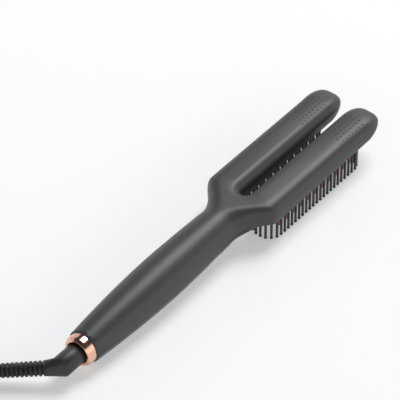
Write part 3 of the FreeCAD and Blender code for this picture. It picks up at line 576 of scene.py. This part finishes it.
def tooth_growth():
    """Tapered blade with a rounded end, wider across the arm than along it."""
    low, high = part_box("heating_teeth_left")
    first = min(islands("heating_teeth_left"))
    thick = (first[0] - low.x) * TOOTH_SWELL_SHARE
    wide = min(foot[1] for foot in islands("heating_teeth_left")) - low.y
    sizes = {"Thickness": thick, "Width": wide, "Length": high.z - low.z + TOOTH_EXTRA}
    growth = Growth("heated_teeth", sizes)
    tip = growth.size("Thickness") * TOOTH_TIP_SHARE
    sockets = {"Vertices": TOOTH_SIDES, "Side Segments": 1, "Radius Top": growth.size("Thickness"),
               "Radius Bottom": tip, "Depth": growth.size("Length") - tip}
    blade = growth.moved(growth.node("GeometryNodeMeshCone", {"fill_type": "NONE"}, sockets), z=tip)
    round_end = {"Segments": TOOTH_SIDES, "Rings": TOOTH_END_RINGS, "Radius": tip}
    end = growth.node("GeometryNodeMeshUVSphere", sockets=round_end)
    tooth = growth.joined(blade, growth.moved(end, z=tip))
    spread = growth.size("Width") / growth.size("Thickness")
    stretch = growth.node("ShaderNodeCombineXYZ", sockets={"X": 1.0, "Y": spread, "Z": 1.0})
    growth.on_points(growth.moved(tooth, Scale=stretch), tooth_finish)
    return growth


def dimple_spots(surface):
    """Ball centres of the dimples: staggered rows behind a blunt point."""
    spots = []
    lift = math.sqrt(DIMPLE_BALL ** 2 - DIMPLE_RADIUS ** 2)
    middle = DIMPLE_ROWS // 2
    for side in (-1, 1):
        for row in range(DIMPLE_ROWS):
            off_middle = abs(row - middle)
            y = side * ARM_Y + DIMPLE_SHIFT + (row - middle) * DIMPLE_ROW_PITCH
            front = TIP_X - DIMPLE_FRONT - off_middle * DIMPLE_PITCH / 2
            for i in range(DIMPLES_PER_ROW + (off_middle == 0)):
                above = Vector((front - i * DIMPLE_PITCH, y, 2 * CREST))
                hit, normal, _, _ = surface.ray_cast(above, Vector((0, 0, -1)))
                spots.append(hit + normal * lift)
    return spots


def join_rungs(shape, rungs):
    """Walls between rungs that match corner by corner, closed at both ends."""
    for a, b in zip(rungs, rungs[1:]):
        for i in range(len(a)):
            j = (i + 1) % len(a)
            shape.faces.new((a[i], a[j], b[j], b[i]))
    shape.faces.new(rungs[0])
    shape.faces.new(rungs[-1])


def closed_mesh(shape, name):
    bmesh.ops.recalc_face_normals(shape, faces=shape.faces)
    mesh = bpy.data.meshes.new(name)
    shape.to_mesh(mesh)
    shape.free()
    return mesh


def cut_away(mesh, *cutters):
    """Mesh less its cutters, shaded smooth up to its sharp edges."""
    body = bpy.data.objects.new("body_to_cut", mesh)
    made = [body]
    bpy.context.scene.collection.objects.link(body)
    for shape in cutters:
        cutter = bpy.data.objects.new("cutter", shape)
        bpy.context.scene.collection.objects.link(cutter)
        made.append(cutter)
        modifier = body.modifiers.new("cut", "BOOLEAN")
        modifier.operation = "DIFFERENCE"
        modifier.solver = "EXACT"
        modifier.object = cutter
    graph = bpy.context.evaluated_depsgraph_get()
    cut = bpy.data.meshes.new_from_object(body.evaluated_get(graph))
    for thing in made:
        bpy.data.objects.remove(thing)
    cut.shade_smooth()
    cut.set_sharp_from_angle(angle=SHARP)
    return cut


def cut_normals(cut, smooth, surface):
    """Shading of a cut shell: the smooth shell's own, apart from the walls of the cuts."""
    corner = [c.vector.copy() for c in smooth.corner_normals]
    own = [c.vector.copy() for c in cut.corner_normals]
    normals = []
    for face in cut.polygons:
        _, _, index, gap = surface.find_nearest(face.center)
        source = smooth.polygons[index]
        spots = [smooth.vertices[v].co for v in source.vertices]
        for loop in face.loop_indices:
            if gap > CUT_DEPTH:
                normals.append(own[loop])
                continue
            shares = poly_3d_calc(spots, cut.vertices[cut.loops[loop].vertex_index].co)
            mixed = sum((corner[k] * w for k, w in zip(source.loop_indices, shares)), Vector())
            normals.append(mixed.normalized())
    cut.normals_split_custom_set(normals)


def make_casing_top():
    """Upper casing with its two dimpled grips."""
    smooth = merged("top_shell")
    slim_neck(smooth)
    lift_tips(smooth)
    surface = BVHTree.FromPolygons([v.co for v in smooth.vertices], [p.vertices for p in smooth.polygons])
    growth = Growth("grip_dimples", {"Ball": DIMPLE_BALL})
    sockets = {"Segments": DIMPLE_SIDES, "Rings": DIMPLE_RINGS, "Radius": growth.size("Ball")}
    growth.on_points(growth.node("GeometryNodeMeshUVSphere", sockets=sockets), casing_finish)
    mesh = cut_away(smooth, growth.grow(dimple_spots(surface)))
    cut_normals(mesh, smooth, surface)
    return add_piece("casing_top", mesh, casing_finish, "brush", "shell_grey", "top_shell")


def make_casing_bottom():
    mesh = merged("bottom_shell")
    slim_neck(mesh)
    deepen_neck(mesh)
    return add_piece("casing_bottom", mesh, casing_finish, "brush", "shell_grey", "bottom_shell")


def make_carrier(arm):
    """Plate that closes an arm's underside, swept up with the arm's tip."""
    node = "bristle_frame_" + arm
    mesh = merged(node)
    lift_tips(mesh)
    return add_piece("carrier_" + arm, mesh, carrier_finish, "brush", "frame_black", node)


def recess_bars(name, along, across, spots):
    """One bar of the cross recess at each screw's head."""
    growth = Growth(name, {"Along": along, "Across": across, "Depth": 2 * RECESS_DEPTH})
    sides = {"X": growth.size("Along"), "Y": growth.size("Across"), "Z": growth.size("Depth")}
    size = growth.node("ShaderNodeCombineXYZ", sockets=sides)
    growth.on_points(growth.node("GeometryNodeMeshCube", sockets={"Size": size}), steel_finish)
    return growth.grow(spots)


def make_screws(node):
    """Screws with a cross recess in their heads."""
    spots = islands(node)
    level = recess_bars(node + "_level_bars", 2 * RECESS_REACH, RECESS_WIDTH, spots)
    upright = recess_bars(node + "_upright_bars", RECESS_WIDTH, 2 * RECESS_REACH, spots)
    mesh = cut_away(merged(node), level, upright)
    lift_tips(mesh)
    return add_piece(node + "_crossed", mesh, steel_finish, "brush", "screw_steel", node)


def sign_strips(sign):
    """Strokes of a sign, as pairs of points across each stroke."""
    across = [(-1 + 2 * i / MARK_STEPS) * MARK_REACH for i in range(MARK_STEPS + 1)]
    level = [((s, -MARK_HALF_WIDTH), (s, MARK_HALF_WIDTH)) for s in across]
    upright = [((-MARK_HALF_WIDTH, s), (MARK_HALF_WIDTH, s)) for s in across]
    if sign == "minus":
        return [upright]
    if sign == "plus":
        half = MARK_STEPS // 2
        arms = [[pair for pair in level if abs(pair[0][0]) > MARK_HALF_WIDTH][:half],
                [pair for pair in level if abs(pair[0][0]) > MARK_HALF_WIDTH][-half:]]
        return [upright] + arms
    ring = []
    for i in range(MARK_STEPS + 1):
        angle = POWER_GAP + (2 * math.pi - 2 * POWER_GAP) * i / MARK_STEPS
        spoke = Vector((math.cos(angle), math.sin(angle)))
        ring.append((spoke * (MARK_REACH - MARK_HALF_WIDTH), spoke * (MARK_REACH + MARK_HALF_WIDTH)))
    stem = [pair for pair in level if pair[0][0] > 0]
    return [ring, stem]


def make_sign(button, sign):
    """Sign inlaid in a button's dished face, which looks along the way that it is pressed."""
    joint = next(j for j in frame["record"]["behaviour"]["joints"] if j["child"] == button)
    press = Vector(joint["axis"]).normalized()
    along = Vector((press.z, 0, -press.x))
    face = merged(button)
    surface = BVHTree.FromPolygons([v.co for v in face.vertices], [p.vertices for p in face.polygons])
    low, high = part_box(button)
    middle = (low + high) / 2
    shape = bmesh.new()
    for strip in sign_strips(sign):
        rungs = []
        for pair in strip:
            hits = []
            for u, v in pair:
                below = middle + along * u + Vector((0, v, 0)) - press * CREST
                hits.append(surface.ray_cast(below, press)[0])
            left, right = hits
            raise_by = press * MARK_RAISE
            corners = (left - raise_by, right - raise_by, right + raise_by, left + raise_by)
            rungs.append([shape.verts.new(corner) for corner in corners])
        join_rungs(shape, rungs)
    mesh = closed_mesh(shape, button + "_sign")
    return add_piece(button + "_sign", mesh, mark_finish, button, "button_black")


def rounded_profile(corners):
    """Points and outward directions round a closed profile with rounded corners."""
    profile = []
    for i, corner in enumerate(corners):
        back = (corners[i - 1] - corner).normalized()
        ahead = (corners[(i + 1) % len(corners)] - corner).normalized()
        half = back.angle(ahead) / 2
        centre = corner + (back + ahead).normalized() * RING_ROUNDING / math.sin(half)
        reach = RING_ROUNDING / math.tan(half)
        first = (corner + back * reach - centre).normalized()
        last = (corner + ahead * reach - centre).normalized()
        for step in range(RING_ROUNDING_STEPS + 1):
            out = first.lerp(last, step / RING_ROUNDING_STEPS).normalized()
            profile.append((centre + out * RING_ROUNDING, out))
    return profile


def make_ring():
    """Polished ring, turned from a profile with a wide rear chamfer."""
    low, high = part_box("end_ring")
    radius = (high.z - low.z) / 2
    corners = [Vector((low.x, RING_HOLE)), Vector((low.x, radius - RING_CHAMFER_DEPTH)),
               Vector((low.x + RING_CHAMFER_LENGTH, radius)), Vector((high.x, radius)),
               Vector((high.x, RING_HOLE))]
    profile = rounded_profile(corners)
    shape = bmesh.new()
    rings = []
    normals = []
    for i in range(RING_SEGMENTS):
        turn = 2 * math.pi * i / RING_SEGMENTS
        side = Vector((0, math.sin(turn), math.cos(turn)))
        rings.append([shape.verts.new(Vector((p.x, 0, SWIVEL_Z)) + side * p.y) for p, _ in profile])
        normals.extend(Vector((out.x, 0, 0)) + side * out.y for _, out in profile)
    for a, b in zip(rings, rings[1:] + rings[:1]):
        for i in range(len(profile)):
            j = (i + 1) % len(profile)
            shape.faces.new((a[i], a[j], b[j], b[i]))
    mesh = closed_mesh(shape, "tail_ring")
    mesh.shade_smooth()
    mesh.normals_split_custom_set_from_vertices(normals)
    return add_piece("tail_ring", mesh, ring_finish, "brush", "rose_gold", "end_ring")


def cord_points():
    """The lead's route, then the coil wound in layers, then the way into the plug."""
    plan = Vector((-math.cos(ELBOW_TURN), math.sin(ELBOW_TURN), 0))
    axis = plan * math.cos(CORD_DROOP) - Vector((0, 0, math.sin(CORD_DROOP)))
    boot = BOOT_RIBS * BOOT_PITCH + BOOT_RIB
    start = Vector((TAIL_X - ELBOW_SETBACK, 0, SWIVEL_Z)) + axis * (OUTLET_LENGTH + boot)
    points = [start + plan * out - Vector((0, 0, drop)) for out, drop in LEAD_ROUTE]
    across = Vector((-plan.y, plan.x, 0))
    turns = COIL_WHOLE_TURNS + (math.pi / 2 + ELBOW_TURN) / (2 * math.pi)
    layer_turns = turns / COIL_LAYERS - COIL_CLIMB_TURNS
    outer = COIL_RADIUS + layer_turns * COIL_TURN_PITCH / 2
    inner = COIL_RADIUS - layer_turns * COIL_TURN_PITCH / 2
    low = points[-1].z
    centre = points[-1] + across * outer
    count = round(turns * COIL_POINTS_PER_TURN)
    swell = 1 / math.cos(math.pi / COIL_POINTS_PER_TURN)
    for i in range(count):
        turn = turns * (i + 0.5) / count
        layer = min(int(turn / (layer_turns + COIL_CLIMB_TURNS)), COIL_LAYERS - 1)
        past = turn - layer * (layer_turns + COIL_CLIMB_TURNS)
        radius, target = (outer, inner) if layer % 2 == 0 else (inner, outer)
        height = low + layer * COIL_LAYER_PITCH
        wound = min(past / layer_turns, 1)
        radius = mix(radius, target, wound)
        climb = max(past - layer_turns, 0) / COIL_CLIMB_TURNS
        if layer == COIL_LAYERS - 1:
            radius += COIL_STEP_OUT * smooth_step(climb / COIL_STEP_OUT_SHARE)
            fall = (climb - PLUG_FALL_SHARE) / (1 - PLUG_FALL_SHARE)
            height = mix(height, PLUG_Z, smooth_step(fall))
        else:
            radius += (1 if layer % 2 else -1) * COIL_BULGE * math.sin(math.pi * climb)
            height += COIL_LAYER_PITCH * smooth_step(climb)
        angle = 2 * math.pi * turn
        out = plan * math.sin(angle) - across * math.cos(angle)
        points.append(Vector((centre.x, centre.y, height)) + out * radius * swell)
    end = Vector((centre.x - outer - COIL_STEP_OUT, centre.y - 2 * CORD_RADIUS, PLUG_Z))
    points.append(end)
    return points


def make_cord(*on_it):
    points = cord_points()
    curve = bpy.data.curves.new("mains_cord", "CURVE")
    curve.dimensions = "3D"
    curve.bevel_depth = CORD_RADIUS
    curve.bevel_resolution = CORD_BEVEL_STEPS
    curve.resolution_u = CORD_CURVE_STEPS
    curve.use_fill_caps = True
    spline = curve.splines.new("NURBS")
    spline.points.add(len(points) - 1)
    for spot, point in zip(spline.points, points):
        spot.co = (*point, 1)
    spline.order_u = CORD_CURVE_ORDER
    spline.use_endpoint_u = True
    curve.materials.append(rubber_finish)
    cord = bpy.data.objects.new("mains_cord", curve)
    bpy.context.scene.collection.objects.link(cord)
    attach(cord, "cord")
    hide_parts("cord_lead", "cord_coil")
    return cord


# Stage

def make_camera():
    back = Vector((math.sin(AZIMUTH) * math.cos(ELEVATION), -math.cos(AZIMUTH) * math.cos(ELEVATION),
                   math.sin(ELEVATION)))
    lens = bpy.data.cameras.new("photo_camera")
    lens.sensor_width = SENSOR_MM
    lens.lens = FOCAL_PX / PHOTO_SIDE_PX * SENSOR_MM
    lens.shift_x = 0.5 - TARGET_PX[0] / PHOTO_SIDE_PX
    lens.shift_y = TARGET_PX[1] / PHOTO_SIDE_PX - 0.5
    camera = bpy.data.objects.new("photo_camera", lens)
    camera.location = TARGET + back * DISTANCE
    camera.rotation_euler = (-back).to_track_quat("-Z", "Y").to_euler()
    bpy.context.scene.collection.objects.link(camera)
    bpy.context.scene.camera = camera


def make_floor():
    """Pale floor that keeps the shadow, with its glow seen only directly and in reflections."""
    mesh = bpy.data.meshes.new("floor")
    signs = ((-1, -1), (1, -1), (1, 1), (-1, 1))
    corners = [(x * FLOOR_HALF, y * FLOOR_HALF, -FLOOR_DROP) for x, y in signs]
    mesh.from_pydata(corners, [], [(0, 1, 2, 3)])
    floor = bpy.data.objects.new("floor", mesh)
    bpy.context.scene.collection.objects.link(floor)
    finish = Finish("floor_pale", FLOOR_COLOUR, FLOOR_ROUGHNESS, Emission_Strength=FLOOR_GLOW)
    rays = finish.tree.nodes.new("ShaderNodeLightPath").outputs
    kinds = ("Is Camera Ray", "Is Glossy Ray", "Is Transmission Ray")
    seen = finish.math("MINIMUM", sum(Value(finish, rays[kind]) for kind in kinds), 1.0)
    glow = finish.blend(seen, (0, 0, 0), FLOOR_GLOW_TINT)
    finish.set(**{"Specular IOR Level": 0.0, "Emission Color": glow})
    mesh.materials.append(finish.material)


def add_light(name, place, size, power, aim=TARGET):
    light = bpy.data.lights.new(name, "AREA")
    light.shape = "RECTANGLE"
    light.size, light.size_y = size
    light.energy = power
    lamp = bpy.data.objects.new(name, light)
    lamp.location = place
    lamp.rotation_euler = (aim - Vector(place)).to_track_quat("-Z", "Y").to_euler()
    bpy.context.scene.collection.objects.link(lamp)


def make_world():
    """Pale walls round the table, lighter on the right, and a dim ceiling."""
    world = bpy.data.worlds.new("studio")
    bpy.context.scene.world = world
    world.use_nodes = True
    tree = Tree(world.node_tree)
    way = tree.node("ShaderNodeTexCoord", output=0)
    aside = tree.node("ShaderNodeSeparateXYZ", sockets={"Vector": way}, output="Y")
    rise = tree.node("ShaderNodeSeparateXYZ", sockets={"Vector": way}, output="Z")
    sockets = {"Value": rise, "From Min": WALL_TOP, "From Max": CEILING_EDGE, "To Min": WALL_LEVEL,
               "To Max": CEILING_LEVEL}
    level = tree.node("ShaderNodeMapRange", {"interpolation_type": "SMOOTHSTEP"}, sockets)
    background = world.node_tree.nodes["Background"]
    tree.feed(background.inputs["Color"], WORLD_TINT)
    tree.feed(background.inputs["Strength"], level * (1 - aside * WALL_LEAN))


def make_stage():
    make_camera()
    make_floor()
    make_world()
    add_light("key_softbox", KEY_PLACE, KEY_SIZE, KEY_POWER)
    bpy.context.scene.view_settings.view_transform = "Standard"


make_stage()
for node, finish in INNER_FINISHES.items():
    materials = frame["nodes"][node].data.materials
    materials.clear()
    materials.append(finish)

make_casing_top()
make_casing_bottom()
make_ring()
pins = pin_growth()
teeth = tooth_growth()
for arm in ("left", "right"):
    node = "bristle_pins_" + arm
    add_piece("pins_" + arm, pins.grow(islands(node)), pin_finish, "brush", "pin_black", node)
    node = "heating_teeth_" + arm
    spots = [(x + TOOTH_SHIFT, y, z - TOOTH_EXTRA) for x, y, z in islands(node)]
    add_piece("teeth_" + arm, teeth.grow(spots), tooth_finish, "brush", "tooth_coating", node)
    make_carrier(arm)
for sign in ("power", "minus", "plus"):
    button = sign + "_button"
    smooth_copy(button + "_cap", button, button_finish)
    make_sign(button, sign)
make_screws("housing_screws")
make_screws("frame_screws")
smooth_copy("display_lens", "display_window", lens_finish)
elbow = smooth_copy("cord_elbow", "swivel_elbow", rubber_finish)
boot = smooth_copy("cord_boot", "strain_relief_boot", rubber_finish)
tie = smooth_copy("coil_tie", "cord_tie", rubber_finish)
plug = smooth_copy("plug_moulding", "plug_body", rubber_finish)
prongs = smooth_copy("plug_prongs", "plug_pins", nickel_finish)
make_cord(elbow, boot, tie, plug, prongs)
